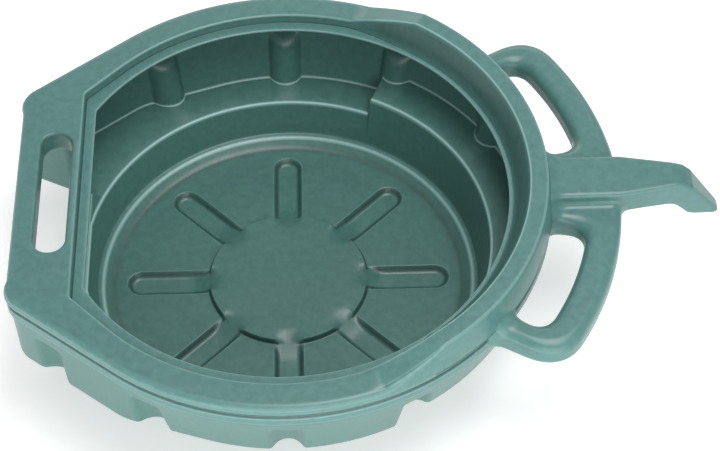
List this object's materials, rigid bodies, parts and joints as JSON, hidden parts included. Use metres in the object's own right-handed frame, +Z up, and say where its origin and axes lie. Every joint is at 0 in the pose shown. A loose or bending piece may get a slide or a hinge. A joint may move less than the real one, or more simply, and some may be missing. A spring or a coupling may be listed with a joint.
{
  "type": "oil drain pan",
  "caption": "Round moulded drain pan with a rolled anti-splash rim, a flat carrying deck with a hand slot, D-handles and a hollow down-turned pouring spout.",
  "frame": {"origin": "middle of the bounding box in plan, on the plane that the pan rests on", "axes": "+X towards the tip of the pouring spout, +Y towards the rear D-handle, +Z up"},
  "size_m": [0.631, 0.478, 0.164],
  "materials": {
    "bowl_plastic": "matte, finely grained",
    "rim_plastic": "semi-matte, finely grained",
    "grip_plastic": "semi-matte, finely grained"
  },
  "bodies": {
    "root": {"bowl_floor": "bowl_plastic", "bowl_lower_wall": "bowl_plastic", "bowl_ledge": "bowl_plastic", "bowl_upper_wall": "bowl_plastic", "rim_ring": "rim_plastic", "carry_deck": "rim_plastic", "pour_guard": "rim_plastic", "grip_slot_sleeve": "rim_plastic", "front_handle_upper": "grip_plastic", "front_handle_lower": "grip_plastic", "rear_handle_upper": "grip_plastic", "rear_handle_lower": "grip_plastic", "spout_upper": "grip_plastic", "spout_lower": "grip_plastic"}
  },
  "joints": []
}
